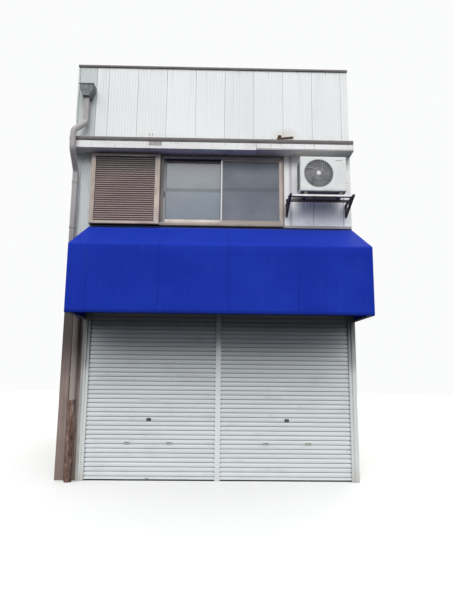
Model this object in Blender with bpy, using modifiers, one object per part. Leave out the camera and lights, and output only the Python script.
"""Two-storey row shop building with a blue awning, two roller shutters and a flat parapet.

X runs along the street front with the middle of the shop front at 0, Y runs from the street
to the rear with 0 half-way through the building, and Z is up from the ground at 0.
All sizes are in metres.
"""
import math

import bmesh
import bpy
from mathutils import Vector

# Clearance between pieces that touch, and the distance under which points are one
GAP = 0.0003
MERGE = 1e-5

# Plan
FRONTAGE = 3.94
PIER_WIDTH = 0.30
BUILDING_DEPTH = 7.28
PARTY_WALL = 0.10
FRONT_WALL = 0.14
REAR_WALL = 0.12
SIDING = 0.020

# Levels
GROUND_SLAB = 0.05
SHUTTER_HEAD = 2.45
UPPER_FLOOR_UNDERSIDE = 2.80
UPPER_FLOOR = 0.18
WINDOW_SILL = 3.65
WINDOW_HEAD = 4.75
EAVE_UNDERSIDE = 4.787
PARAPET_TOP = 6.235
PLATE_ABOVE_WINDOW = 0.01

# Parapet and siding
PARAPET_WALL = 0.12
PANEL_PITCH = 0.455
FIRST_PANEL_WIDTH = 0.185
PANEL_GROOVE = 0.006
PANEL_GROOVE_DEPTH = 0.005
RIBS_PER_PANEL = 10
RIB_GROOVE = 0.005
RIB_GROOVE_DEPTH = 0.0015
COPING_HEIGHT = 0.025
COPING_OVERHANG = 0.018
COPING_LIP = 0.030
COPING_FALL = 0.006
TRIM_STEP = 0.010
LEFT_TRIM = 0.022
RIGHT_TRIM = 0.110

# Street eave between the storeys and the parapet
EAVE_DEPTH = 0.20
FASCIA_THICK = 0.020
FASCIA_HEIGHT = 0.107
FASCIA_JOINT = 0.51
FASCIA_DROP = 0.006
FASCIA_EDGE = 0.003
FLASHING_LIP = 0.062
FLASHING_SHEET = 0.006
FLASHING_RISE = 0.065
SIDING_ABOVE_FLASHING = 0.01

# Main roof
ROOF_PITCH = 0.25
ROOF_AT_REAR_WALL = 4.95
ROOF_SHEET = 0.09
ROOF_REAR_OVERHANG = 0.30
ROOF_SEAM_WIDTH = 0.030
ROOF_SEAM_HEIGHT = 0.028
RIDGE_CAP_HALF = 0.16
RIDGE_CAP_SHEET = 0.012
VALLEY_WIDTH = 0.24
VALLEY_DEPTH = 0.10
VALLEY_SHEET = 0.006
VALLEY_ROOF_LAP = 0.05
GUTTER_RADIUS = 0.055
GUTTER_SHEET = 0.005
GUTTER_ARC_STEPS = 10

# Sliding windows
WINDOW_WIDTH = 1.87
WINDOW_FRAME_FACE = 0.042
WINDOW_FRAME_DEPTH = 0.10
WINDOW_PROUD = 0.05
SASH_FACE = 0.036
SASH_DEPTH = 0.026
SASH_OVERLAP = 0.036
GLASS = 0.005
SCREEN_FACE = 0.022
SCREEN_DEPTH = 0.013
SCREEN_MESH = 0.002
SCREEN_SETBACK = 0.010
TRACK_GAP = 0.005

# Storm shutter box beside the street window
STORM_BOX_FROM_EDGE = 0.01
STORM_BOX_WIDTH = 1.03
STORM_BOX_PROUD = 0.10
STORM_STILE = 0.040
STORM_RAIL = 0.040
STORM_RECESS = 0.040
LOUVRE_COUNT = 30
LOUVRE_PLATE = 0.010
LOUVRE_SLOPE = 0.016
LOUVRE_NOSE = 0.007

# Roller shutters
RAIL_WIDTH = 0.10
RAIL_DEPTH = 0.075
RAIL_PROUD = 0.020
RAIL_FACE = 0.058
RAIL_SLOT = 0.024
RAIL_SLOT_FRONT = 0.025
RAIL_SLOT_DEEP = 0.030
POST_MIDDLE = -0.017
POST_WIDTH = 0.074
POST_SLOT_DEEP = 0.024
SLAT_PITCH = 0.062
SLAT_THICK = 0.013
SLAT_BULGE = 0.003
SLAT_GROOVE = 0.007
SLAT_GROOVE_HEIGHT = 0.007
SLAT_GROOVE_TOP = 0.002
BOTTOM_BAR_HEIGHT = 0.055
BOTTOM_BAR_THICK = 0.020
CURTAIN_SIDE_PLAY = 0.003
SHUTTER_BOX_DEPTH = 0.34
SHUTTER_BOX_EDGE = 0.02

# Awning
AWNING_END_SETBACK = 0.005
AWNING_REACH = 0.90
AWNING_TOP = 3.64
AWNING_BEND = 3.13
AWNING_BOTTOM = 2.235
AWNING_SHEET = 0.006
AWNING_TUBE_RADIUS = 0.0125
AWNING_RAIL_END = 0.008
AWNING_RIB_SHARE = 0.88
AWNING_BAYS = 5
AWNING_FLASHING_HEIGHT = 0.045
AWNING_FLASHING_DEPTH = 0.030
AWNING_FLASHING_SHEET = 0.004

# Air conditioner on its wall bracket
AC_FROM_RIGHT = 0.17
AC_WIDTH = 0.67
AC_BOTTOM = 4.085
AC_HEIGHT = 0.525
AC_DEPTH = 0.27
AC_FRONT = 0.40
AC_EDGE = 0.014
AC_FAN_FROM_LEFT = 0.268
AC_FAN_ABOVE_BASE = 0.269
AC_FAN_RADIUS = 0.217
AC_FAN_SIDES = 48
AC_RECESS = 0.060
AC_FOOT_HEIGHT = 0.045
AC_FOOT_WIDTH = 0.050
AC_FOOT_INSET = 0.080
AC_FOOT_BURY = 0.011
AC_LINE_COUNT = 8
AC_LINE_PITCH = 0.040
AC_LINE_HEIGHT = 0.004
AC_LINE_DEPTH = 0.002
AC_LINE_FROM_TOP = 0.115
AC_LINE_MARGIN = 0.025
GUARD_RING = 0.008
GUARD_DEPTH = 0.012
GUARD_HUB_RADIUS = 0.032
GUARD_HUB_SIDES = 24
GUARD_VANES = 36
GUARD_VANE = 0.0035
GUARD_TWIST = math.radians(38)
GUARD_VANE_STEPS = 5
GUARD_VANE_INSET = 0.002
GUARD_RINGS = (0.40, 0.70)
GUARD_RING_INSET = 0.004
GUARD_RING_SIDES = 36
BRACKET_PAST_LEFT = 0.145
BRACKET_PAST_RIGHT = 0.085
BRACKET_BAR = 0.030
BRACKET_REACH = 0.450
BRACKET_DROP = 0.190
BRACKET_HOLE_FOOT = 0.066
BRACKET_HOLE_HEAD = 0.042
BRACKET_HOLE_NOSE = 0.120
BRACKET_NOSE = 0.015
BRACKET_RAIL_END = 0.030
BRACKET_RAIL_WIDTH = 0.045
BRACKET_RAIL_INSET = 0.015

# Rainwater hopper and downpipe on the left pier
HOPPER_FROM_SHOP = 0.12
HOPPER_TOP = 5.86
HOPPER_HEIGHT = 0.20
HOPPER_TOP_WIDTH = 0.21
HOPPER_TOP_DEPTH = 0.15
HOPPER_FOOT = 0.11
HOPPER_SHEET = 0.006
HOPPER_COLLAR = 0.08
HOPPER_RIM = 0.008
HOPPER_RIM_HEIGHT = 0.014
PIPE_RADIUS = 0.044
PIPE_OFF_WALL = 0.060
PIPE_FROM_END = 0.07
PIPE_FROM_SHOP = 0.09
PIPE_BEND_RADIUS = 0.10
PIPE_JOINT = 1.10
PIPE_SOCKET_RADIUS = 0.052
PIPE_NECK_ABOVE_EAVE = 0.30
PIPE_EAVE_STRAIGHT = 0.06
PIPE_EAVE_CLEARANCE = 0.012
PIPE_BELOW_EAVE = 0.32
PIPE_OFFSET_TOP = 2.95
PIPE_OFFSET_BOTTOM = 2.65
REAR_PIPE_FROM_END = 0.132
REAR_PIPE_NECK = 0.16
REAR_PIPE_SLOPE = 0.26
CLAMP_LEVELS_UPPER = (4.30, 3.60)
CLAMP_LEVELS_LOWER = (2.38, 1.45)
CLAMP_LEVELS_FOOT = (0.62,)
CLAMP_LEVELS_REAR = (3.90, 2.40, 0.90)
CLAMP_THICK = 0.005
CLAMP_HEIGHT = 0.030
CLAMP_STRAP = 0.040
CLAMP_SIDES = 16

# Rear door
DOOR_WIDTH = 0.80
DOOR_HEAD = 2.05
DOOR_FRAME_FACE = 0.040
DOOR_THICK = 0.070
DOOR_SETBACK = 0.010
DOOR_LEAF_SETBACK = 0.022
DOOR_PANEL_MARGIN = 0.10
DOOR_PANEL_RECESS = 0.010
LEVER_HEIGHT = 1.00
LEVER_FROM_EDGE = 0.090
LEVER_ROSE_RADIUS = 0.024
LEVER_NECK_RADIUS = 0.009
LEVER_STAND_OFF = 0.045
LEVER_LENGTH = 0.11
LEVER_THICK = 0.016
LEVER_EDGE = 0.004
LEVER_SIDES = 16

# Lines worked out from the sizes above
LEFT = -FRONTAGE / 2
RIGHT = FRONTAGE / 2
END_LEFT = LEFT - PIER_WIDTH
FRONT = -BUILDING_DEPTH / 2
REAR = BUILDING_DEPTH / 2
INNER_LEFT = END_LEFT + PARTY_WALL
INNER_RIGHT = RIGHT - PARTY_WALL
WALL_FACE = FRONT + SIDING
WALL_BACK = FRONT + FRONT_WALL
REAR_INNER = REAR - REAR_WALL
RIDGE_UNDERSIDE = ROOF_AT_REAR_WALL + ROOF_PITCH * REAR
PARAPET_BACK = WALL_FACE + PARAPET_WALL
WALL_PLATE = WINDOW_HEAD + PLATE_ABOVE_WINDOW
FLASHING_BASE = EAVE_UNDERSIDE + FASCIA_HEIGHT
SIDING_BASE = FLASHING_BASE + FLASHING_LIP + FLASHING_RISE + SIDING_ABOVE_FLASHING
FIRST_PANEL_JOINT = LEFT + FIRST_PANEL_WIDTH
VALLEY_FRONT = PARAPET_BACK + GAP
VALLEY_REAR = VALLEY_FRONT + VALLEY_WIDTH
STORM_BOX_LEFT = LEFT + STORM_BOX_FROM_EDGE
WINDOW_LEFT = STORM_BOX_LEFT + STORM_BOX_WIDTH
WINDOW_RIGHT = WINDOW_LEFT + WINDOW_WIDTH
REAR_WINDOW_LEFT = (END_LEFT + RIGHT - WINDOW_WIDTH) / 2
POST_LEFT = POST_MIDDLE - POST_WIDTH / 2
AWNING_FRONT = FRONT - AWNING_REACH
AWNING_HALF_WIDTH = RIGHT - AWNING_END_SETBACK
AC_LEFT = RIGHT - AC_FROM_RIGHT - AC_WIDTH
AC_RIGHT = AC_LEFT + AC_WIDTH
AC_TOP = AC_BOTTOM + AC_HEIGHT
AC_FAN_X = AC_LEFT + AC_FAN_FROM_LEFT
AC_FAN_Z = AC_BOTTOM + AC_FAN_ABOVE_BASE
HOPPER_X = LEFT - HOPPER_FROM_SHOP
PIPE_UPPER_X = END_LEFT + PIPE_FROM_END
PIPE_LOWER_X = LEFT - PIPE_FROM_SHOP
DOOR_LEFT = INNER_RIGHT - DOOR_WIDTH

COLLECTION_NAME = "row_shop_building"


def roof_underside(y):
    """Height of the roof's underside above a place along the depth."""
    return RIDGE_UNDERSIDE - ROOF_PITCH * abs(y)


VALLEY_BASE = roof_underside(VALLEY_REAR) - VALLEY_DEPTH


# Start from an empty file
for old in list(bpy.data.objects):
    bpy.data.objects.remove(old, do_unlink=True)

parts = bpy.data.collections.new(COLLECTION_NAME)
bpy.context.scene.collection.children.link(parts)
cutters = bpy.data.collections.new("cutters")
bpy.context.scene.collection.children.link(cutters)
base_point = bpy.data.objects.new("building_base", None)
parts.objects.link(base_point)


# Materials
def material(name, colour, roughness, metallic=0.0, alpha=1.0):
    made = bpy.data.materials.new(name)
    made.use_nodes = True
    shader = made.node_tree.nodes["Principled BSDF"]
    shader.inputs["Base Color"].default_value = (*colour, 1.0)
    shader.inputs["Roughness"].default_value = roughness
    shader.inputs["Metallic"].default_value = metallic
    shader.inputs["Alpha"].default_value = alpha
    return made


MORTAR = material("mortar", (0.52, 0.50, 0.46), 0.9)
CONCRETE = material("concrete", (0.42, 0.41, 0.39), 0.9)
WHITE_SIDING = material("white_siding", (0.72, 0.73, 0.72), 0.6)
GREY_SIDING = material("grey_siding", (0.55, 0.58, 0.60), 0.6)
BROWN_METAL = material("brown_metal", (0.16, 0.11, 0.10), 0.5, 0.3)
WHITE_BOARD = material("white_board", (0.78, 0.78, 0.76), 0.6)
ROOF_METAL = material("roof_metal", (0.22, 0.20, 0.19), 0.5, 0.4)
GALVANISED = material("galvanised_sheet", (0.50, 0.51, 0.52), 0.45, 0.8)
BRONZE_ALUMINIUM = material("bronze_aluminium", (0.42, 0.33, 0.27), 0.4, 0.5)
FROSTED_GLASS = material("frosted_glass", (0.45, 0.52, 0.58), 0.35, 0.0, 0.6)
SCREEN_NET = material("screen_net", (0.22, 0.23, 0.24), 0.8, 0.0, 0.6)
LOUVRE_PAINT = material("louvre_paint", (0.24, 0.15, 0.13), 0.5)
SHUTTER_STEEL = material("shutter_steel", (0.70, 0.72, 0.72), 0.45, 0.2)
RAIL_STEEL = material("rail_steel", (0.75, 0.76, 0.75), 0.4, 0.2)
AWNING_CLOTH = material("awning_cloth", (0.02, 0.04, 0.42), 0.6)
FRAME_STEEL = material("frame_steel", (0.55, 0.56, 0.57), 0.4, 0.9)
CASING_PAINT = material("casing_paint", (0.80, 0.80, 0.77), 0.5)
GUARD_PLASTIC = material("guard_plastic", (0.20, 0.19, 0.18), 0.6)
DARK_STEEL = material("dark_steel", (0.10, 0.09, 0.09), 0.7, 0.5)
RUSTY_STEEL = material("rusty_steel", (0.28, 0.14, 0.07), 0.85, 0.3)
PIPE_PLASTIC = material("pipe_plastic", (0.30, 0.27, 0.26), 0.6)


# Shape makers
def keep(made, name, finish, target=parts):
    """Name a new object, give it its finish and hang it under the building's base point."""
    made.name = name
    made.data.name = name
    for collection in list(made.users_collection):
        collection.objects.unlink(made)
    target.objects.link(made)
    made.data.materials.clear()
    made.data.materials.append(finish)
    if target is parts:
        made.parent = base_point
    return made


def box(name, x_range, y_range, z_range, finish, target=parts):
    """Upright block between three pairs of planes, with its scale applied to the mesh."""
    low = Vector((x_range[0], y_range[0], z_range[0]))
    high = Vector((x_range[1], y_range[1], z_range[1]))
    bpy.ops.mesh.primitive_cube_add(size=1.0, location=(low + high) / 2)
    made = bpy.context.active_object
    made.data.transform(made.matrix_world.Diagonal((*(high - low), 1.0)))
    return keep(made, name, finish, target)


def prism(name, axis, outlines, span, finish, target=parts):
    """Flat outline, with any holes as further outlines, drawn out along one axis.

    Outline points are (Y, Z) for axis X, (X, Z) for axis Y and (X, Y) for axis Z.
    """
    curve = bpy.data.curves.new(name, "CURVE")
    curve.dimensions = "2D"
    curve.fill_mode = "BOTH"
    curve.extrude = (span[1] - span[0]) / 2
    for outline in outlines:
        spline = curve.splines.new("POLY")
        spline.points.add(len(outline) - 1)
        for point, (u, v) in zip(spline.points, outline):
            point.co = (u, v, 0.0, 1.0)
        spline.use_cyclic_u = True
    made = bpy.data.objects.new(name, curve)
    middle = (span[0] + span[1]) / 2
    quarter = math.pi / 2
    if axis == "X":
        made.rotation_euler = (quarter, 0.0, quarter)
        made.location = (middle, 0.0, 0.0)
    elif axis == "Y":
        made.rotation_euler = (quarter, 0.0, 0.0)
        made.location = (0.0, middle, 0.0)
    else:
        made.location = (0.0, 0.0, middle)
    target.objects.link(made)
    return keep(made, name, finish, target)


def rectangle(u_range, v_range):
    """Four corners of an upright rectangle."""
    (u_low, u_high), (v_low, v_high) = u_range, v_range
    return [(u_low, v_low), (u_high, v_low), (u_high, v_high), (u_low, v_high)]


def ring(name, x_range, z_range, face, y_range, finish):
    """Four-sided frame of one face width around a rectangular opening."""
    outer = rectangle(x_range, z_range)
    inner = rectangle((x_range[0] + face, x_range[1] - face), (z_range[0] + face, z_range[1] - face))
    return prism(name, "Y", [outer, inner], y_range, finish)


def tube(name, points, radius, finish, target=parts, sides=2):
    """Round bar along a route, closed at both ends."""
    curve = bpy.data.curves.new(name, "CURVE")
    curve.dimensions = "3D"
    curve.bevel_depth = radius
    curve.bevel_resolution = sides
    curve.use_fill_caps = True
    spline = curve.splines.new("POLY")
    spline.points.add(len(points) - 1)
    for point, place in zip(spline.points, points):
        point.co = (*place, 1.0)
    made = bpy.data.objects.new(name, curve)
    target.objects.link(made)
    return keep(made, name, finish, target)


def as_mesh(source):
    """Turn a curve object into a closed mesh object that can be cut or joined."""
    bpy.context.view_layer.update()
    seen = source.evaluated_get(bpy.context.evaluated_depsgraph_get())
    mesh = bpy.data.meshes.new_from_object(seen)
    work = bmesh.new()
    work.from_mesh(mesh)
    bmesh.ops.remove_doubles(work, verts=work.verts, dist=MERGE)
    bmesh.ops.recalc_face_normals(work, faces=work.faces)
    work.to_mesh(mesh)
    work.free()
    made = bpy.data.objects.new(source.name, mesh)
    made.matrix_world = source.matrix_world.copy()
    collection = source.users_collection[0]
    finish = source.data.materials[0]
    name = source.name
    bpy.data.objects.remove(source, do_unlink=True)
    collection.objects.link(made)
    return keep(made, name, finish, collection)


def as_cutter(made):
    """Hide a shape that only cuts or joins another."""
    made.hide_render = True
    made.display_type = "WIRE"
    return made


def combine(body, other, operation):
    """Cut the other shape from a body, or join it to the body."""
    change = body.modifiers.new(operation.lower(), "BOOLEAN")
    change.operation = operation
    change.solver = "EXACT"
    change.object = as_cutter(other)
    return body


def joined(name, pieces, finish, target=cutters):
    """One mesh object from several closed shapes that don't touch each other."""
    bpy.context.view_layer.update()
    work = bmesh.new()
    for piece in pieces:
        copy = piece.data.copy()
        copy.transform(piece.matrix_world)
        work.from_mesh(copy)
        bpy.data.meshes.remove(copy)
        bpy.data.objects.remove(piece, do_unlink=True)
    mesh = bpy.data.meshes.new(name)
    work.to_mesh(mesh)
    work.free()
    made = bpy.data.objects.new(name, mesh)
    target.objects.link(made)
    return keep(made, name, finish, target)


def soften(made, width, segments=1):
    """Small round or chamfer on the edges of a block."""
    edge = made.modifiers.new("edges", "BEVEL")
    edge.width = width
    edge.segments = segments
    edge.limit_method = "ANGLE"
    return made


def shade_round(made, angle=40):
    """Smooth shading with edges kept sharp past an angle."""
    made.data.shade_smooth()
    made.data.set_sharp_from_angle(angle=math.radians(angle))


def rounded_route(corners, radius, steps=4):
    """Route through corner points with each inner corner turned by an arc."""
    corners = [Vector(corner) for corner in corners]
    route = [corners[0]]
    for before, corner, after in zip(corners, corners[1:], corners[2:]):
        incoming = (before - corner).normalized()
        outgoing = (after - corner).normalized()
        half = incoming.angle(outgoing) / 2
        reach = radius / math.tan(half)
        bisector = (incoming + outgoing).normalized()
        centre = corner + bisector * (radius / math.sin(half))
        start = corner + incoming * reach - centre
        end = corner + outgoing * reach - centre
        turn = start.angle(end)
        for step in range(steps + 1):
            share = step / steps
            weight_start = math.sin((1 - share) * turn) / math.sin(turn)
            weight_end = math.sin(share * turn) / math.sin(turn)
            route.append(centre + start * weight_start + end * weight_end)
    route.append(corners[-1])
    return route


def round_block(name, radius, length, place, sides, finish, along=(0.0, 0.0, 0.0)):
    """Short round bar that is joined to another piece; it stands upright unless turned."""
    bpy.ops.mesh.primitive_cylinder_add(vertices=sides, radius=radius, depth=length, location=place,
                                        rotation=along)
    return keep(bpy.context.active_object, name, finish, cutters)


def clamped_pipe(name, corners, radius, places, wall, finish):
    """Downpipe along a route, with a band at each place and a strap from the band to the wall."""
    pipe = as_mesh(tube(name, rounded_route(corners, PIPE_BEND_RADIUS), radius, finish))
    for x, y, z in places:
        band = round_block("pipe_band", radius + CLAMP_THICK, CLAMP_HEIGHT, (x, y, z), CLAMP_SIDES, finish)
        combine(pipe, band, "UNION")
        strap = box("pipe_strap", (x - CLAMP_STRAP / 2, x + CLAMP_STRAP / 2), sorted((y, wall)),
                    (z - CLAMP_HEIGHT / 3, z + CLAMP_HEIGHT / 3), finish, cutters)
        combine(pipe, strap, "UNION")
    shade_round(pipe)
    return pipe


# Floors
def floors():
    box("floor_slab", (INNER_LEFT + GAP, INNER_RIGHT - GAP), (WALL_BACK + GAP, REAR_INNER - GAP),
        (0.0, GROUND_SLAB), CONCRETE)
    box("upper_floor", (INNER_LEFT + GAP, INNER_RIGHT - GAP), (WALL_BACK + GAP, REAR_INNER - GAP),
        (UPPER_FLOOR_UNDERSIDE, UPPER_FLOOR_UNDERSIDE + UPPER_FLOOR), WHITE_BOARD)


# Walls
def party_wall(name, x_range, front_foot, rear_foot, rear_foot_top):
    """Plain end wall whose top follows the valley tray and the two roof slopes.

    Its foot may run past the upper wall to the front and to the rear, up to a level for each.
    """
    back = REAR_INNER - GAP
    outline = [(front_foot, 0.0), (rear_foot, 0.0)]
    if rear_foot > back:
        outline += [(rear_foot, rear_foot_top - GAP), (back, rear_foot_top - GAP)]
    outline += [(back, roof_underside(back) - GAP), (0.0, RIDGE_UNDERSIDE - GAP)]
    outline += [(VALLEY_REAR, roof_underside(VALLEY_REAR) - GAP), (VALLEY_REAR, VALLEY_BASE - GAP)]
    upper_front = PARAPET_BACK + GAP
    outline += [(upper_front, VALLEY_BASE - GAP)]
    if front_foot < upper_front:
        outline += [(upper_front, UPPER_FLOOR_UNDERSIDE - GAP), (front_foot, UPPER_FLOOR_UNDERSIDE - GAP)]
    return prism(name, "X", [outline], x_range, MORTAR)


def walls():
    left_foot = WALL_BACK + GAP
    right_foot = FRONT + RAIL_DEPTH + GAP
    party_wall("left_party_wall", (END_LEFT, INNER_LEFT), left_foot, REAR_INNER - GAP, DOOR_HEAD)
    party_wall("right_party_wall", (INNER_RIGHT, RIGHT), right_foot, REAR, DOOR_HEAD)

    box("left_pier", (END_LEFT, LEFT - GAP), (WALL_FACE, WALL_BACK), (0.0, WALL_PLATE), MORTAR)
    box("front_wall_band", (LEFT, RIGHT), (FRONT, WALL_BACK), (UPPER_FLOOR_UNDERSIDE, WINDOW_SILL), MORTAR)
    box("front_wall_left", (LEFT, WINDOW_LEFT - GAP), (FRONT, WALL_BACK),
        (WINDOW_SILL + GAP, WALL_PLATE), MORTAR)
    box("front_wall_right", (WINDOW_RIGHT + GAP, RIGHT), (WALL_FACE + GAP, WALL_BACK),
        (WINDOW_SILL + GAP, WALL_PLATE), MORTAR)
    box("parapet_wall", (END_LEFT, RIGHT), (WALL_FACE + GAP, PARAPET_BACK),
        (WALL_PLATE + GAP, PARAPET_TOP), MORTAR)

    box("rear_wall_lower", (END_LEFT, DOOR_LEFT), (REAR_INNER, REAR), (0.0, DOOR_HEAD), MORTAR)
    box("rear_wall_band", (END_LEFT, RIGHT), (REAR_INNER, REAR), (DOOR_HEAD + GAP, WINDOW_SILL), MORTAR)
    box("rear_wall_upper_left", (END_LEFT, REAR_WINDOW_LEFT - GAP), (REAR_INNER, REAR),
        (WINDOW_SILL + GAP, WINDOW_HEAD), MORTAR)
    box("rear_wall_upper_right", (REAR_WINDOW_LEFT + WINDOW_WIDTH + GAP, RIGHT), (REAR_INNER, REAR),
        (WINDOW_SILL + GAP, WINDOW_HEAD), MORTAR)
    head = [(REAR_INNER, WINDOW_HEAD + GAP), (REAR, WINDOW_HEAD + GAP)]
    head += [(REAR, roof_underside(REAR) - GAP), (REAR_INNER, roof_underside(REAR_INNER) - GAP)]
    prism("rear_wall_head", "X", [head], (END_LEFT, RIGHT), MORTAR)


# Metal siding
def panel_joints(low, high):
    """Places of the upright panel joints between two ends of a wall."""
    count = int((high - FIRST_PANEL_JOINT) / PANEL_PITCH) + 1
    places = [FIRST_PANEL_JOINT + PANEL_PITCH * number for number in range(count)]
    return [place for place in places if low + PANEL_GROOVE < place < high - PANEL_GROOVE]


def upright_lines(low, high):
    """Panel joints and the fine ribs between them, each as its place, its half width and its depth."""
    pitch = PANEL_PITCH / RIBS_PER_PANEL
    first = math.ceil((low + PANEL_GROOVE - FIRST_PANEL_JOINT) / pitch)
    last = math.floor((high - PANEL_GROOVE - FIRST_PANEL_JOINT) / pitch)
    lines = []
    for number in range(first, last + 1):
        is_rib = number % RIBS_PER_PANEL
        width = RIB_GROOVE if is_rib else PANEL_GROOVE
        depth = RIB_GROOVE_DEPTH if is_rib else PANEL_GROOVE_DEPTH
        lines.append((FIRST_PANEL_JOINT + pitch * number, width / 2, depth))
    return lines


def siding(name, x_range, z_range, finish, left_trim=0.0, right_trim=0.0):
    """Upright ribbed sheet with a groove at each panel joint and a raised strip at either end."""
    left, right = x_range
    outline = [(right, WALL_FACE)]
    outline += [(left, WALL_FACE)]
    if left_trim:
        outline += [(left, FRONT - TRIM_STEP), (left + left_trim, FRONT - TRIM_STEP),
                    (left + left_trim, FRONT)]
    else:
        outline += [(left, FRONT)]
    for place, half, depth in upright_lines(left + left_trim, right - right_trim):
        outline += [(place - half, FRONT), (place, FRONT + depth), (place + half, FRONT)]
    if right_trim:
        outline += [(right - right_trim, FRONT), (right - right_trim, FRONT - TRIM_STEP),
                    (right, FRONT - TRIM_STEP)]
    else:
        outline += [(right, FRONT)]
    return prism(name, "Z", [outline], z_range, finish)


def sidings():
    siding("parapet_siding", (LEFT + GAP, RIGHT), (SIDING_BASE, PARAPET_TOP), WHITE_SIDING)
    siding("parapet_siding_left", (END_LEFT, LEFT - GAP), (SIDING_BASE, PARAPET_TOP), GREY_SIDING)
    siding("wall_siding_right", (WINDOW_RIGHT + GAP, RIGHT), (WINDOW_SILL + GAP, EAVE_UNDERSIDE - GAP),
           WHITE_SIDING, LEFT_TRIM, RIGHT_TRIM)
    siding("pier_siding", (END_LEFT, LEFT - GAP), (SHUTTER_HEAD, EAVE_UNDERSIDE - GAP), GREY_SIDING)


# Street eave and coping
def coping():
    front = FRONT - COPING_OVERHANG
    back = PARAPET_BACK + COPING_OVERHANG
    sheet = COPING_OVERHANG - GAP
    top = PARAPET_TOP + COPING_HEIGHT
    base = PARAPET_TOP + GAP
    outline = [(front, top - COPING_LIP), (front + sheet, top - COPING_LIP), (front + sheet, base)]
    outline += [(back - sheet, base), (back - sheet, top - COPING_LIP), (back, top - COPING_LIP)]
    outline += [(back, top - COPING_FALL), (front, top)]
    prism("parapet_coping", "X", [outline], (END_LEFT, RIGHT), BROWN_METAL)


def street_eave():
    front = FRONT - EAVE_DEPTH
    back = WALL_FACE
    box_top = FLASHING_BASE - FLASHING_SHEET
    core = [(front, EAVE_UNDERSIDE), (back, EAVE_UNDERSIDE), (back, box_top + FLASHING_LIP), (front, box_top)]
    prism("eave_box", "X", [core], (END_LEFT, RIGHT), WHITE_BOARD)
    for name, low, high, drop in (("eave_fascia_left", END_LEFT, FASCIA_JOINT - GAP, FASCIA_DROP),
                                  ("eave_fascia_right", FASCIA_JOINT, RIGHT, 0.0)):
        board = box(name, (low, high), (front - FASCIA_THICK, front - GAP),
                    (EAVE_UNDERSIDE - drop, FLASHING_BASE - GAP), WHITE_BOARD)
        soften(board, FASCIA_EDGE)
    nose = front - FASCIA_THICK
    lip_top = FLASHING_BASE + FLASHING_LIP
    sheet = FLASHING_SHEET
    slope = [(nose - sheet, FLASHING_BASE), (nose, FLASHING_BASE), (nose, lip_top - sheet)]
    slope += [(back - sheet, lip_top + FLASHING_RISE - 2 * sheet)]
    slope += [(back - sheet, box_top + FLASHING_LIP + GAP)]
    slope += [(back - GAP, box_top + FLASHING_LIP + GAP), (back - GAP, lip_top + FLASHING_RISE)]
    slope += [(back - sheet, lip_top + FLASHING_RISE), (nose, lip_top), (nose - sheet, lip_top - sheet)]
    prism("eave_flashing", "X", [slope], (END_LEFT, RIGHT), BROWN_METAL)


# Main roof
def roof_slope(name, low, high):
    """Roof deck from one depth to another, with an upright seam over each panel joint."""
    def band(base, thick):
        return [(low, roof_underside(low) + base), (high, roof_underside(high) + base),
                (high, roof_underside(high) + base + thick), (low, roof_underside(low) + base + thick)]
    deck = as_mesh(prism(name, "X", [band(0.0, ROOF_SHEET)], (END_LEFT, RIGHT), ROOF_METAL))
    sunk = ROOF_SHEET / 2
    seams = []
    for joint in panel_joints(END_LEFT, RIGHT):
        span = (joint - ROOF_SEAM_WIDTH / 2, joint + ROOF_SEAM_WIDTH / 2)
        seam = prism("seam", "X", [band(sunk, sunk + ROOF_SEAM_HEIGHT)], span, ROOF_METAL, cutters)
        seams.append(as_mesh(seam))
    return combine(deck, joined(name + "_seams", seams, ROOF_METAL), "UNION")


def trough(name, outer, inner, x_range, wall, finish):
    """Gutter with closed ends: a long solid with a channel cut from above."""
    body = as_mesh(prism(name, "X", [outer], x_range, finish))
    channel = prism(name + "_channel", "X", [inner], (x_range[0] + wall, x_range[1] - wall), finish, cutters)
    return combine(body, as_mesh(channel), "DIFFERENCE")


def half_round(middle, top, radius, rise):
    """D-shaped outline with a round belly and a flat top."""
    outline = [(middle - radius, top + rise)]
    for step in range(GUTTER_ARC_STEPS + 1):
        turn = math.pi + math.pi * step / GUTTER_ARC_STEPS
        outline.append((middle + radius * math.cos(turn), top + radius * math.sin(turn)))
    outline.append((middle + radius, top + rise))
    return outline


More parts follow.
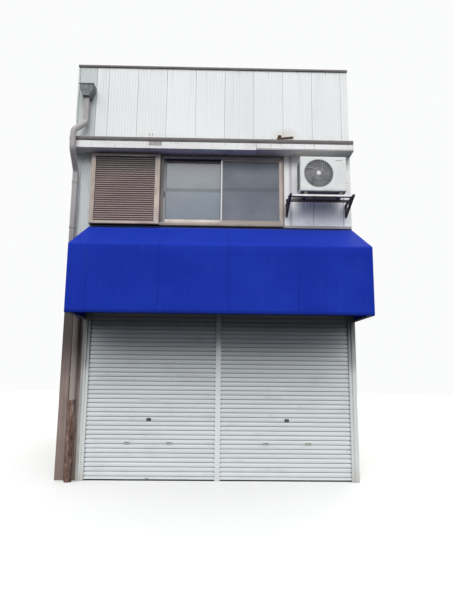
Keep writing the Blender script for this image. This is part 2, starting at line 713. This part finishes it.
def main_roof():
    roof_slope("roof_front", VALLEY_REAR - VALLEY_ROOF_LAP, -GAP / 2)
    roof_slope("roof_rear", GAP / 2, REAR + ROOF_REAR_OVERHANG)

    lift = ROOF_SHEET + ROOF_SEAM_HEIGHT + GAP
    base = RIDGE_UNDERSIDE + lift
    fall = ROOF_PITCH * RIDGE_CAP_HALF
    cap = [(-RIDGE_CAP_HALF, base - fall), (0.0, base), (RIDGE_CAP_HALF, base - fall)]
    cap += [(RIDGE_CAP_HALF, base - fall + RIDGE_CAP_SHEET), (0.0, base + RIDGE_CAP_SHEET)]
    cap += [(-RIDGE_CAP_HALF, base - fall + RIDGE_CAP_SHEET)]
    prism("ridge_cap", "X", [cap], (END_LEFT, RIGHT), ROOF_METAL)

    front, rear = VALLEY_FRONT, VALLEY_REAR - GAP
    rim = roof_underside(VALLEY_REAR - VALLEY_ROOF_LAP) - ROOF_PITCH * VALLEY_ROOF_LAP - GAP
    outer = rectangle((front, rear), (VALLEY_BASE, rim))
    inner = rectangle((front + VALLEY_SHEET, rear - VALLEY_SHEET),
                      (VALLEY_BASE + VALLEY_SHEET, rim + VALLEY_SHEET))
    trough("valley_gutter", outer, inner, (END_LEFT, RIGHT), VALLEY_SHEET, GALVANISED)

    edge = REAR + ROOF_REAR_OVERHANG
    middle = edge + GAP + GUTTER_RADIUS
    top = roof_underside(edge) + ROOF_SHEET / 2
    outer = half_round(middle, top, GUTTER_RADIUS, 0.0)
    inner = half_round(middle, top, GUTTER_RADIUS - GUTTER_SHEET, GUTTER_SHEET)
    trough("rear_gutter", outer, inner, (END_LEFT, RIGHT), GUTTER_SHEET, PIPE_PLASTIC)
    drop_x = END_LEFT + REAR_PIPE_FROM_END
    wall_y = REAR + PIPE_OFF_WALL
    under = top - GUTTER_RADIUS - GAP
    neck = under - REAR_PIPE_NECK
    corners = [(drop_x, middle, under), (drop_x, middle, neck), (drop_x, wall_y, neck - REAR_PIPE_SLOPE),
               (drop_x, wall_y, 0.0)]
    places = [(drop_x, wall_y, level) for level in CLAMP_LEVELS_REAR]
    clamped_pipe("rear_downpipe", corners, PIPE_RADIUS, places, REAR + GAP, PIPE_PLASTIC)


# Windows
def sliding_window(prefix, left, outside, facing):
    """Two-sash sliding window; facing is 1 where the street side is towards -Y, else -1."""
    right = left + WINDOW_WIDTH
    low, high = WINDOW_SILL + GAP, WINDOW_HEAD - GAP

    def layer(start, thick):
        near = outside + facing * start
        far = outside + facing * (start + thick)
        return (min(near, far), max(near, far))

    ring(prefix + "_frame", (left, right), (low, high), WINDOW_FRAME_FACE,
         layer(-WINDOW_PROUD, WINDOW_FRAME_DEPTH), BRONZE_ALUMINIUM)
    inner_left = left + WINDOW_FRAME_FACE + GAP
    inner_right = right - WINDOW_FRAME_FACE - GAP
    inner_low = low + WINDOW_FRAME_FACE + GAP
    inner_high = high - WINDOW_FRAME_FACE - GAP
    middle = (left + right) / 2
    outer_track = -WINDOW_PROUD + SCREEN_SETBACK + SCREEN_DEPTH + TRACK_GAP
    inner_track = outer_track + SASH_DEPTH + TRACK_GAP
    for side, span, start in (("left", (inner_left, middle + SASH_OVERLAP / 2), inner_track),
                              ("right", (middle - SASH_OVERLAP / 2, inner_right), outer_track)):
        ring(prefix + "_sash_" + side, span, (inner_low, inner_high), SASH_FACE,
             layer(start, SASH_DEPTH), BRONZE_ALUMINIUM)
        pane_gap = SASH_FACE + GAP
        box(prefix + "_glass_" + side, (span[0] + pane_gap, span[1] - pane_gap),
            layer(start + (SASH_DEPTH - GLASS) / 2, GLASS),
            (inner_low + pane_gap, inner_high - pane_gap), FROSTED_GLASS)
    return (middle - SASH_OVERLAP / 2, inner_right), (inner_low, inner_high)


def street_window():
    span, heights = sliding_window("window", WINDOW_LEFT, FRONT, 1)
    start = FRONT - WINDOW_PROUD + SCREEN_SETBACK
    ring("screen_frame", span, heights, SCREEN_FACE, (start, start + SCREEN_DEPTH), BRONZE_ALUMINIUM)
    inset = SCREEN_FACE + GAP
    net = start + (SCREEN_DEPTH - SCREEN_MESH) / 2
    box("screen_net", (span[0] + inset, span[1] - inset), (net, net + SCREEN_MESH),
        (heights[0] + inset, heights[1] - inset), SCREEN_NET)


def storm_shutter():
    left, right = STORM_BOX_LEFT, WINDOW_LEFT - GAP
    low, high = WINDOW_SILL + GAP, WINDOW_HEAD - GAP
    front = FRONT - STORM_BOX_PROUD
    housing = box("storm_shutter_box", (left, right), (front, FRONT - GAP), (low, high), BRONZE_ALUMINIUM)
    field = (left + STORM_STILE, right - STORM_STILE)
    heights = (low + STORM_RAIL, high - STORM_RAIL)
    recess = box("storm_shutter_recess", field, (front - STORM_RECESS, front + STORM_RECESS), heights,
                 BRONZE_ALUMINIUM, cutters)
    combine(housing, recess, "DIFFERENCE")

    back = front + STORM_RECESS - GAP
    face = back - LOUVRE_PLATE - LOUVRE_SLOPE
    bottom, top = heights[0] + GAP, heights[1] - GAP
    pitch = (top - bottom) / LOUVRE_COUNT
    outline = [(back, top), (back, bottom)]
    for number in range(LOUVRE_COUNT):
        start = bottom + number * pitch
        outline += [(face, start), (face, start + LOUVRE_NOSE), (face + LOUVRE_SLOPE, start + pitch)]
    prism("storm_shutter_louvres", "X", [outline], (field[0] + GAP, field[1] - GAP), LOUVRE_PAINT)


# Roller shutters
def guide_rail(name, edge, outward):
    """Upright steel section with a slot for the curtain and a raised face on the wall side."""
    def at(across, depth):
        return (edge + outward * across, FRONT + depth)
    slot_back = RAIL_SLOT_FRONT + RAIL_SLOT
    step = RAIL_WIDTH - RAIL_FACE
    outline = [at(0, 0), at(step, 0), at(step, -RAIL_PROUD), at(RAIL_WIDTH, -RAIL_PROUD),
               at(RAIL_WIDTH, RAIL_DEPTH), at(0, RAIL_DEPTH), at(0, slot_back), at(RAIL_SLOT_DEEP, slot_back),
               at(RAIL_SLOT_DEEP, RAIL_SLOT_FRONT), at(0, RAIL_SLOT_FRONT)]
    return prism(name, "Z", [outline], (0.0, UPPER_FLOOR_UNDERSIDE - GAP), RAIL_STEEL)


def centre_post():
    left, right = POST_LEFT, POST_LEFT + POST_WIDTH
    slot_front = FRONT + RAIL_SLOT_FRONT
    slot_back = slot_front + RAIL_SLOT
    back = FRONT + RAIL_DEPTH
    outline = [(left, FRONT), (right, FRONT), (right, slot_front), (right - POST_SLOT_DEEP, slot_front),
               (right - POST_SLOT_DEEP, slot_back), (right, slot_back), (right, back), (left, back),
               (left, slot_back), (left + POST_SLOT_DEEP, slot_back), (left + POST_SLOT_DEEP, slot_front),
               (left, slot_front)]
    prism("centre_post", "Z", [outline], (0.0, SHUTTER_HEAD - GAP), RAIL_STEEL)


def curtain(name, x_range):
    """Slatted steel curtain: bulged slats with a groove at each hinge line, over a bottom bar."""
    middle = FRONT + RAIL_SLOT_FRONT + RAIL_SLOT / 2
    front, back = middle - SLAT_THICK / 2, middle + SLAT_THICK / 2
    bar_front, bar_back = middle - BOTTOM_BAR_THICK / 2, middle + BOTTOM_BAR_THICK / 2
    top = SHUTTER_HEAD - GAP
    outline = [(back, top), (back, BOTTOM_BAR_HEIGHT), (bar_back, BOTTOM_BAR_HEIGHT), (bar_back, 0.0)]
    outline += [(bar_front, 0.0), (bar_front, BOTTOM_BAR_HEIGHT)]
    level = BOTTOM_BAR_HEIGHT
    while level + SLAT_PITCH < top:
        edge = level + SLAT_GROOVE_HEIGHT
        end = level + SLAT_PITCH
        outline += [(front + SLAT_GROOVE, level), (front, edge), (front - SLAT_BULGE, (edge + end) / 2),
                    (front, end - SLAT_GROOVE_TOP), (front + SLAT_GROOVE, end - SLAT_GROOVE_TOP)]
        level = end
    outline += [(front + SLAT_GROOVE, top)]
    return prism(name, "X", [outline], x_range, SHUTTER_STEEL)


def shutters():
    guide_rail("guide_rail_left", LEFT + RAIL_WIDTH, -1)
    guide_rail("guide_rail_right", RIGHT - RAIL_WIDTH, 1)
    centre_post()
    seat = RAIL_SLOT_DEEP - CURTAIN_SIDE_PLAY
    post_seat = POST_SLOT_DEEP - CURTAIN_SIDE_PLAY
    curtain("shutter_left", (LEFT + RAIL_WIDTH - seat, POST_LEFT + post_seat))
    curtain("shutter_right", (POST_LEFT + POST_WIDTH - post_seat, RIGHT - RAIL_WIDTH + seat))
    housing = box("shutter_box", (LEFT + RAIL_WIDTH + GAP, RIGHT - RAIL_WIDTH - GAP),
                  (FRONT, FRONT + SHUTTER_BOX_DEPTH), (SHUTTER_HEAD, UPPER_FLOOR_UNDERSIDE - GAP), GALVANISED)
    soften(housing, SHUTTER_BOX_EDGE)


# Awning
def awning_slope(y, below):
    """Height of a line that lies below the awning's slope by a distance square to it."""
    run, fall = AWNING_REACH, AWNING_TOP - AWNING_BEND
    return AWNING_TOP - (FRONT - y) * fall / run - below * math.hypot(run, fall) / run


def awning_cover():
    """Sloping top, upright front and two end cheeks: a block cut hollow from the rear and below."""
    back = FRONT - RAIL_PROUD - GAP
    outer = [(back, AWNING_BOTTOM), (AWNING_FRONT, AWNING_BOTTOM), (AWNING_FRONT, AWNING_BEND),
             (back, awning_slope(back, 0.0))]
    span = (-AWNING_HALF_WIDTH, AWNING_HALF_WIDTH)
    cover = as_mesh(prism("awning_cover", "X", [outer], span, AWNING_CLOTH))
    inside, past, below = AWNING_FRONT + AWNING_SHEET, FRONT + AWNING_REACH, AWNING_BOTTOM - AWNING_REACH
    inner = [(past, below), (inside, below), (inside, awning_slope(inside, AWNING_SHEET)),
             (past, awning_slope(past, AWNING_SHEET))]
    half = AWNING_HALF_WIDTH - AWNING_SHEET
    room = as_mesh(prism("awning_room", "X", [inner], (-half, half), AWNING_CLOTH, cutters))
    return combine(cover, room, "DIFFERENCE")


def awning_frame():
    """Welded tube frame under the cover: three long rails, bent ribs and two end rails."""
    radius = AWNING_TUBE_RADIUS
    inset = AWNING_SHEET + GAP + radius
    front_y = AWNING_FRONT + inset
    wall_y = FRONT - GAP - radius
    bottom_z = AWNING_BOTTOM + radius + GAP
    side = AWNING_HALF_WIDTH - inset
    rail_end = side + AWNING_RAIL_END
    rib_radius = radius * AWNING_RIB_SHARE
    end_radius = rib_radius * AWNING_RIB_SHARE
    wall_point, bend_point = (wall_y, awning_slope(wall_y, inset)), (front_y, awning_slope(front_y, inset))
    rails, ribs, ends = [], [], []
    for y, z in (wall_point, bend_point, (front_y, bottom_z)):
        rails.append(as_mesh(tube("awning_rail", [(-rail_end, y, z), (rail_end, y, z)], radius, FRAME_STEEL,
                                  cutters, 1)))
    for number in range(AWNING_BAYS + 1):
        x = -side + 2 * side * number / AWNING_BAYS
        points = [(x, *wall_point), (x, *bend_point), (x, front_y, bottom_z)]
        ribs.append(as_mesh(tube("awning_rib", points, rib_radius, FRAME_STEEL, cutters, 1)))
    for x in (-side, side):
        points = [(x, FRONT - RAIL_PROUD - GAP, bottom_z), (x, front_y, bottom_z)]
        ends.append(as_mesh(tube("awning_end_rail", points, end_radius, FRAME_STEEL, cutters, 1)))
    frame = joined("awning_frame", rails, FRAME_STEEL, parts)
    combine(frame, joined("awning_ribs", ribs, FRAME_STEEL), "UNION")
    combine(frame, joined("awning_end_rails", ends, FRAME_STEEL), "UNION")
    shade_round(frame)


def awning_flashing():
    """Angle strip that closes the joint between the awning's top and the siding."""
    back = FRONT - TRIM_STEP - GAP
    front = back - AWNING_FLASHING_DEPTH
    base, top = AWNING_TOP + 2 * GAP, AWNING_TOP + AWNING_FLASHING_HEIGHT
    sheet = AWNING_FLASHING_SHEET
    outline = [(front, base), (back, base), (back, top), (back - sheet, top)]
    outline += [(back - sheet, base + 2 * sheet), (front, base + sheet)]
    prism("awning_flashing", "X", [outline], (WINDOW_RIGHT + GAP, AWNING_HALF_WIDTH), WHITE_BOARD)


def awning():
    awning_cover()
    awning_frame()
    awning_flashing()


# Air conditioner
def on_fan(radius, turn):
    """Point of the casing's face at a distance and an angle from the fan's axis."""
    return (AC_FAN_X + radius * math.cos(turn), AC_FAN_Z + radius * math.sin(turn))


def disc(name, radius, y_range, steps, finish, target=cutters):
    """Round slab that faces the street, on the fan's axis."""
    outline = [on_fan(radius, 2 * math.pi * step / steps) for step in range(steps)]
    return as_mesh(prism(name, "Y", [outline], y_range, finish, target))


def annulus(name, radius, width, y_range, steps, finish, target=cutters):
    """Flat ring that faces the street, on the fan's axis."""
    outlines = [[on_fan(edge, 2 * math.pi * step / steps) for step in range(steps)]
                for edge in (radius, radius - width)]
    return as_mesh(prism(name, "Y", outlines, y_range, finish, target))


def air_conditioner():
    front = FRONT - AC_FRONT
    back = front + AC_DEPTH
    casing = box("ac_casing", (AC_LEFT, AC_RIGHT), (front, back), (AC_BOTTOM, AC_TOP), CASING_PAINT)
    soften(casing, AC_EDGE, 2)
    recess = disc("ac_recess", AC_FAN_RADIUS, (front - AC_RECESS, front + AC_RECESS), AC_FAN_SIDES,
                  CASING_PAINT)
    combine(casing, recess, "DIFFERENCE")
    span = (AC_FAN_X + AC_FAN_RADIUS + AC_LINE_MARGIN, AC_RIGHT - AC_LINE_MARGIN)
    depth = (front - AC_EDGE, front + AC_LINE_DEPTH)
    lines = []
    for number in range(AC_LINE_COUNT):
        level = AC_TOP - AC_LINE_FROM_TOP - number * AC_LINE_PITCH
        lines.append(box("ac_line", span, depth, (level - AC_LINE_HEIGHT, level), CASING_PAINT, cutters))
    combine(casing, joined("ac_lines", lines, CASING_PAINT), "DIFFERENCE")
    for x in (AC_LEFT + AC_FOOT_INSET, AC_RIGHT - AC_FOOT_INSET):
        half = AC_FOOT_WIDTH / 2
        foot = box("ac_foot", (x - half, x + half), (front + AC_EDGE, back - AC_EDGE),
                   (AC_BOTTOM - AC_FOOT_HEIGHT, AC_BOTTOM + AC_FOOT_BURY), CASING_PAINT, cutters)
        combine(casing, foot, "UNION")
    shade_round(casing)
    fan_guard(front)
    wall_bracket(front)


def fan_guard(front):
    """Round guard of twisted vanes between a hub disc and an outer ring, with two inner rings."""
    outer = AC_FAN_RADIUS - GAP
    depth = (front, front + GUARD_DEPTH)
    guard = annulus("ac_fan_guard", outer, GUARD_RING, depth, AC_FAN_SIDES, GUARD_PLASTIC, parts)
    vanes = []
    start, end = GUARD_HUB_RADIUS - GUARD_VANE, outer - GUARD_RING / 2
    for number in range(GUARD_VANES):
        base = 2 * math.pi * number / GUARD_VANES
        left_side, right_side = [], []
        for step in range(GUARD_VANE_STEPS + 1):
            share = step / GUARD_VANE_STEPS
            radius = start + (end - start) * share
            turn = base + GUARD_TWIST * share
            half = GUARD_VANE / (2 * radius)
            left_side.append(on_fan(radius, turn - half))
            right_side.append(on_fan(radius, turn + half))
        outline = left_side + right_side[::-1]
        vane_depth = (front + GUARD_VANE_INSET, front + GUARD_DEPTH - GUARD_VANE_INSET)
        vanes.append(as_mesh(prism("ac_vane", "Y", [outline], vane_depth, GUARD_PLASTIC, cutters)))
    combine(guard, joined("ac_vanes", vanes, GUARD_PLASTIC), "UNION")
    hub = disc("ac_hub", GUARD_HUB_RADIUS, depth, GUARD_HUB_SIDES, GUARD_PLASTIC)
    combine(guard, hub, "UNION")
    for number, share in enumerate(GUARD_RINGS):
        radius = outer * share
        ring_depth = (front + GUARD_RING_INSET, front + GUARD_DEPTH)
        inner_ring = annulus("ac_inner_ring_%d" % number, radius, GUARD_VANE, ring_depth, GUARD_RING_SIDES,
                             GUARD_PLASTIC)
        combine(guard, inner_ring, "UNION")
    shade_round(guard)


def wall_bracket(front):
    """Two triangular arms on the wall with two rails across them, welded into one."""
    bar = BRACKET_BAR
    top = AC_BOTTOM - AC_FOOT_HEIGHT - GAP
    wall = FRONT - TRIM_STEP - GAP
    nose = FRONT - BRACKET_REACH
    low = top - bar - BRACKET_DROP
    arm_top = top - bar / 2
    outline = [(wall, low), (wall, arm_top), (nose, arm_top), (nose, arm_top - BRACKET_NOSE)]
    hole_top = top - BRACKET_HOLE_HEAD
    hole = [(wall - bar, low + BRACKET_HOLE_FOOT), (wall - bar, hole_top)]
    hole += [(nose + BRACKET_HOLE_NOSE, hole_top)]
    left, right = AC_LEFT - BRACKET_PAST_LEFT, AC_RIGHT + BRACKET_PAST_RIGHT
    arms = []
    for x in (left, right):
        arm = prism("ac_arm", "X", [outline, hole], (x - bar / 2, x + bar / 2), DARK_STEEL, cutters)
        arms.append(as_mesh(arm))
    span = (left - BRACKET_RAIL_END, right + BRACKET_RAIL_END)
    near = front + BRACKET_RAIL_INSET
    rail = box("ac_bracket", span, (near, near + BRACKET_RAIL_WIDTH), (top - bar, top), DARK_STEEL)
    far = front + AC_DEPTH - BRACKET_RAIL_INSET
    second = box("ac_rear_rail", span, (far - BRACKET_RAIL_WIDTH, far), (top - bar, top), DARK_STEEL, cutters)
    combine(rail, joined("ac_arms", arms, DARK_STEEL), "UNION")
    combine(rail, second, "UNION")


# Rainwater pieces on the pier
def hopper():
    """Open-topped box with a rim, narrowing to the pipe, cut from above."""
    back = FRONT - GAP
    half_top, half_foot = HOPPER_TOP_WIDTH / 2, HOPPER_FOOT / 2
    base = HOPPER_TOP - HOPPER_HEIGHT
    shoulder = HOPPER_TOP - HOPPER_COLLAR

    def funnel(shrink):
        foot, mouth = half_foot - shrink, half_top - shrink
        low, high = base + shrink, HOPPER_TOP + shrink
        return [(HOPPER_X - foot, low), (HOPPER_X + foot, low), (HOPPER_X + mouth, shoulder),
                (HOPPER_X + mouth, high), (HOPPER_X - mouth, high), (HOPPER_X - mouth, shoulder)]
    body = as_mesh(prism("hopper_head", "Y", [funnel(0.0)], (back - HOPPER_TOP_DEPTH, back), PIPE_PLASTIC))
    rim = box("hopper_rim", (HOPPER_X - half_top - HOPPER_RIM, HOPPER_X + half_top + HOPPER_RIM),
              (back - HOPPER_TOP_DEPTH - HOPPER_RIM, back), (HOPPER_TOP - HOPPER_RIM_HEIGHT, HOPPER_TOP),
              PIPE_PLASTIC, cutters)
    combine(body, rim, "UNION")
    room = prism("hopper_room", "Y", [funnel(HOPPER_SHEET)],
                 (back - HOPPER_TOP_DEPTH + HOPPER_SHEET, back - HOPPER_SHEET), PIPE_PLASTIC, cutters)
    return combine(body, as_mesh(room), "DIFFERENCE")


def downpipe():
    wall_y = FRONT - PIPE_OFF_WALL
    hopper_y = FRONT - GAP - HOPPER_TOP_DEPTH / 2
    eave_y = FRONT - EAVE_DEPTH - FASCIA_THICK - FLASHING_SHEET - PIPE_RADIUS - PIPE_EAVE_CLEARANCE
    start = HOPPER_TOP - HOPPER_HEIGHT - GAP
    eave_top = FLASHING_BASE + FLASHING_LIP
    wall = FRONT - GAP
    corners = [(HOPPER_X, hopper_y, start), (HOPPER_X, hopper_y, eave_top + PIPE_NECK_ABOVE_EAVE),
               (PIPE_UPPER_X, eave_y, eave_top + PIPE_EAVE_STRAIGHT),
               (PIPE_UPPER_X, eave_y, EAVE_UNDERSIDE - PIPE_EAVE_STRAIGHT),
               (PIPE_UPPER_X, wall_y, EAVE_UNDERSIDE - PIPE_BELOW_EAVE),
               (PIPE_UPPER_X, wall_y, PIPE_OFFSET_TOP), (PIPE_LOWER_X, wall_y, PIPE_OFFSET_BOTTOM),
               (PIPE_LOWER_X, wall_y, PIPE_JOINT + GAP)]
    places = [(PIPE_UPPER_X, wall_y, level) for level in CLAMP_LEVELS_UPPER]
    places += [(PIPE_LOWER_X, wall_y, level) for level in CLAMP_LEVELS_LOWER]
    clamped_pipe("downpipe_upper", corners, PIPE_RADIUS, places, wall, PIPE_PLASTIC)
    corners = [(PIPE_LOWER_X, wall_y, PIPE_JOINT), (PIPE_LOWER_X, wall_y, 0.0)]
    places = [(PIPE_LOWER_X, wall_y, level) for level in CLAMP_LEVELS_FOOT]
    clamped_pipe("downpipe_lower", corners, PIPE_SOCKET_RADIUS, places, wall, RUSTY_STEEL)


# Rear door
def rear_door():
    """Closed door in its frame: the leaf lies back from the frame and has two sunk panels."""
    left, right = DOOR_LEFT + GAP, INNER_RIGHT - GAP
    top = DOOR_HEAD - GAP
    face = REAR - DOOR_SETBACK
    door = box("rear_door", (left, right), (face - DOOR_THICK, face), (0.0, top), BRONZE_ALUMINIUM)
    middle = top / 2
    inset = DOOR_FRAME_FACE + DOOR_PANEL_MARGIN
    leaf_face = face - DOOR_LEAF_SETBACK
    panel_face = leaf_face - DOOR_PANEL_RECESS
    for name, margin, low, high, back in (
            ("door_leaf_recess", DOOR_FRAME_FACE, DOOR_FRAME_FACE, top - DOOR_FRAME_FACE, leaf_face),
            ("door_lower_panel", inset, inset, middle - DOOR_PANEL_MARGIN / 2, panel_face),
            ("door_upper_panel", inset, middle + DOOR_PANEL_MARGIN / 2, top - inset, panel_face)):
        cut = box(name, (left + margin, right - margin), (back, face + DOOR_THICK), (low, high),
                  BRONZE_ALUMINIUM, cutters)
        combine(door, cut, "DIFFERENCE")

    door_lever(door, left + LEVER_FROM_EDGE, leaf_face)


def door_lever(door, x, leaf_face):
    """Lever handle on the leaf: a round rose, a neck that stands off and an arm along the door."""
    outward = (math.pi / 2, 0.0, 0.0)
    half = LEVER_THICK / 2
    arm_y = leaf_face + LEVER_STAND_OFF
    neck_y = leaf_face + LEVER_STAND_OFF / 2
    rose = round_block("lever_rose", LEVER_ROSE_RADIUS, LEVER_THICK, (x, leaf_face, LEVER_HEIGHT),
                       LEVER_SIDES, BRONZE_ALUMINIUM, outward)
    neck = round_block("lever_neck", LEVER_NECK_RADIUS, LEVER_STAND_OFF, (x, neck_y, LEVER_HEIGHT),
                       LEVER_SIDES, BRONZE_ALUMINIUM, outward)
    arm = box("lever_arm", (x - LEVER_THICK, x + LEVER_LENGTH), (arm_y - half, arm_y + half),
              (LEVER_HEIGHT - half, LEVER_HEIGHT + half), BRONZE_ALUMINIUM, cutters)
    soften(arm, LEVER_EDGE)
    for piece in (rose, neck, arm):
        combine(door, piece, "UNION")


floors()
walls()
sidings()
coping()
street_eave()
main_roof()
street_window()
storm_shutter()
shutters()
awning()
air_conditioner()
hopper()
downpipe()
sliding_window("rear_window", REAR_WINDOW_LEFT, REAR, -1)
rear_door()
